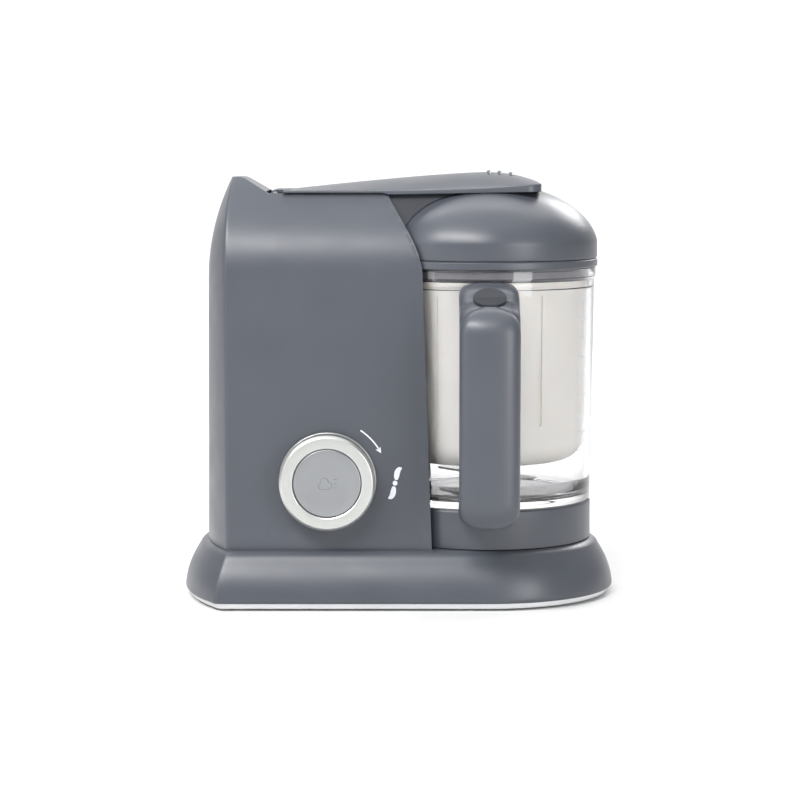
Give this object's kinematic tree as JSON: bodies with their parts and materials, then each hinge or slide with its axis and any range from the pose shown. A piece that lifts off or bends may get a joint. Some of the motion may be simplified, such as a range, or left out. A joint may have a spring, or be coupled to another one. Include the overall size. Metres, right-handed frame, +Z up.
{
  "type": "baby food maker",
  "caption": "Countertop steamer-blender for baby food: grey tower with a water tank and control knob, lever lid, and a clear twist-lock bowl with a handle and steam basket.",
  "frame": {"origin": "middle of the footprint's bounding rectangle, on the surface that the feet stand on", "axes": "+X along the base from the tower towards the bowl, +Y from the handle side towards the back, +Z up"},
  "size_m": [0.255, 0.1836, 0.251],
  "materials": {
    "shell": "satin, fine moulded grain",
    "underplate": "matt light grey",
    "feet": "matt",
    "screws": "zinc plated",
    "soft_rubber": "matt",
    "stainless": "brushed",
    "heater": "cast",
    "inner_plastic": "matt natural",
    "zinc_plate": "zinc plated",
    "magnet": "sintered",
    "copper": "lacquered windings",
    "bronze": "sintered bronze",
    "board": "green solder mask",
    "clear_bowl": "clear, polished",
    "thumb_rubber": "soft touch",
    "basket": "translucent natural, satin",
    "knob_metal": "satin, spun",
    "button_metal": "satin silver"
  },
  "bodies": {
    "root": {"base_plinth": "shell", "bottom_plate": "underplate", "rubber_feet": "feet", "base_screws": "screws", "tower_shell": "shell", "bowl_side_panel": "shell", "top_deck": "shell", "hinge_bed": "shell", "cord_gland": "soft_rubber", "water_tank": "stainless", "heater_plate": "heater", "thermostat": "inner_plastic", "motor_mount": "zinc_plate", "motor_can": "zinc_plate", "motor_magnets": "magnet", "drive_belt": "soft_rubber", "spindle_housing": "inner_plastic", "spindle_bushes": "bronze", "bowl_seat": "shell", "rotary_switch": "inner_plastic", "control_board": "board", "hinge_pin": "stainless"},
    "bowl": {"bowl_glass": "clear_bowl", "bowl_chimney": "clear_bowl", "bowl_foot": "shell", "handle": "shell", "thumb_pad": "thumb_rubber", "steam_basket": "basket"},
    "lid": {"lid_dome": "shell", "lid_ring": "shell", "lid_seal": "soft_rubber", "steam_port": "soft_rubber"},
    "lever": {"lever_cover": "shell", "lever_pan": "inner_plastic", "steam_duct": "shell", "tank_gasket": "soft_rubber", "steam_nozzle": "soft_rubber"},
    "knob": {"knob_ring": "knob_metal", "knob_skirt": "knob_metal", "knob_shaft": "inner_plastic", "button_spring": "stainless"},
    "button": {"steam_button": "button_metal"},
    "motor": {"motor_shaft": "stainless", "motor_rotor": "copper", "motor_pulley": "stainless"},
    "blade_drive": {"drive_spindle": "stainless", "spindle_pulley": "inner_plastic", "blade_hub": "shell", "blades": "stainless"}
  },
  "joints": [
    {"name": "lever_hinge", "type": "hinge", "parent": "root", "child": "lever", "pos_m": [-0.0718, 0.01635, 0.2373], "axis": [0, -1, 0], "range_deg": [0, 100]},
    {"name": "bowl_twist", "type": "hinge", "parent": "root", "child": "bowl", "pos_m": [0.05205, 0.01635, 0.045], "axis": [0, 0, 1], "range_deg": [0, 35]},
    {"name": "lid_twist", "type": "hinge", "parent": "bowl", "child": "lid", "pos_m": [0.05205, 0.01635, 0.196], "axis": [0, 0, 1], "range_deg": [0, 25]},
    {"name": "knob_turn", "type": "hinge", "parent": "root", "child": "knob", "pos_m": [-0.0411, 0.01635, 0.0736], "axis": [0, 1, 0], "range_deg": [0, 45], "stiffness_Nm_per_rad": 0.06},
    {"name": "steam_push", "type": "slide", "parent": "knob", "child": "button", "axis": [0, 1, 0], "range_m": [0, 0.0025], "stiffness_N_per_m": 400, "deforming": ["button_spring"]},
    {"name": "motor_spin", "type": "hinge", "parent": "root", "child": "motor", "pos_m": [-0.056, 0.01635, 0.06], "axis": [0, 0, 1], "continuous": true},
    {"name": "blade_spin", "type": "hinge", "parent": "root", "child": "blade_drive", "pos_m": [0.05205, 0.01635, 0.045], "axis": [0, 0, 1], "continuous": true}
  ],
  "couplings": [
    {"joint": "blade_spin", "follows": "motor_spin", "ratio": 0.40909}
  ]
}
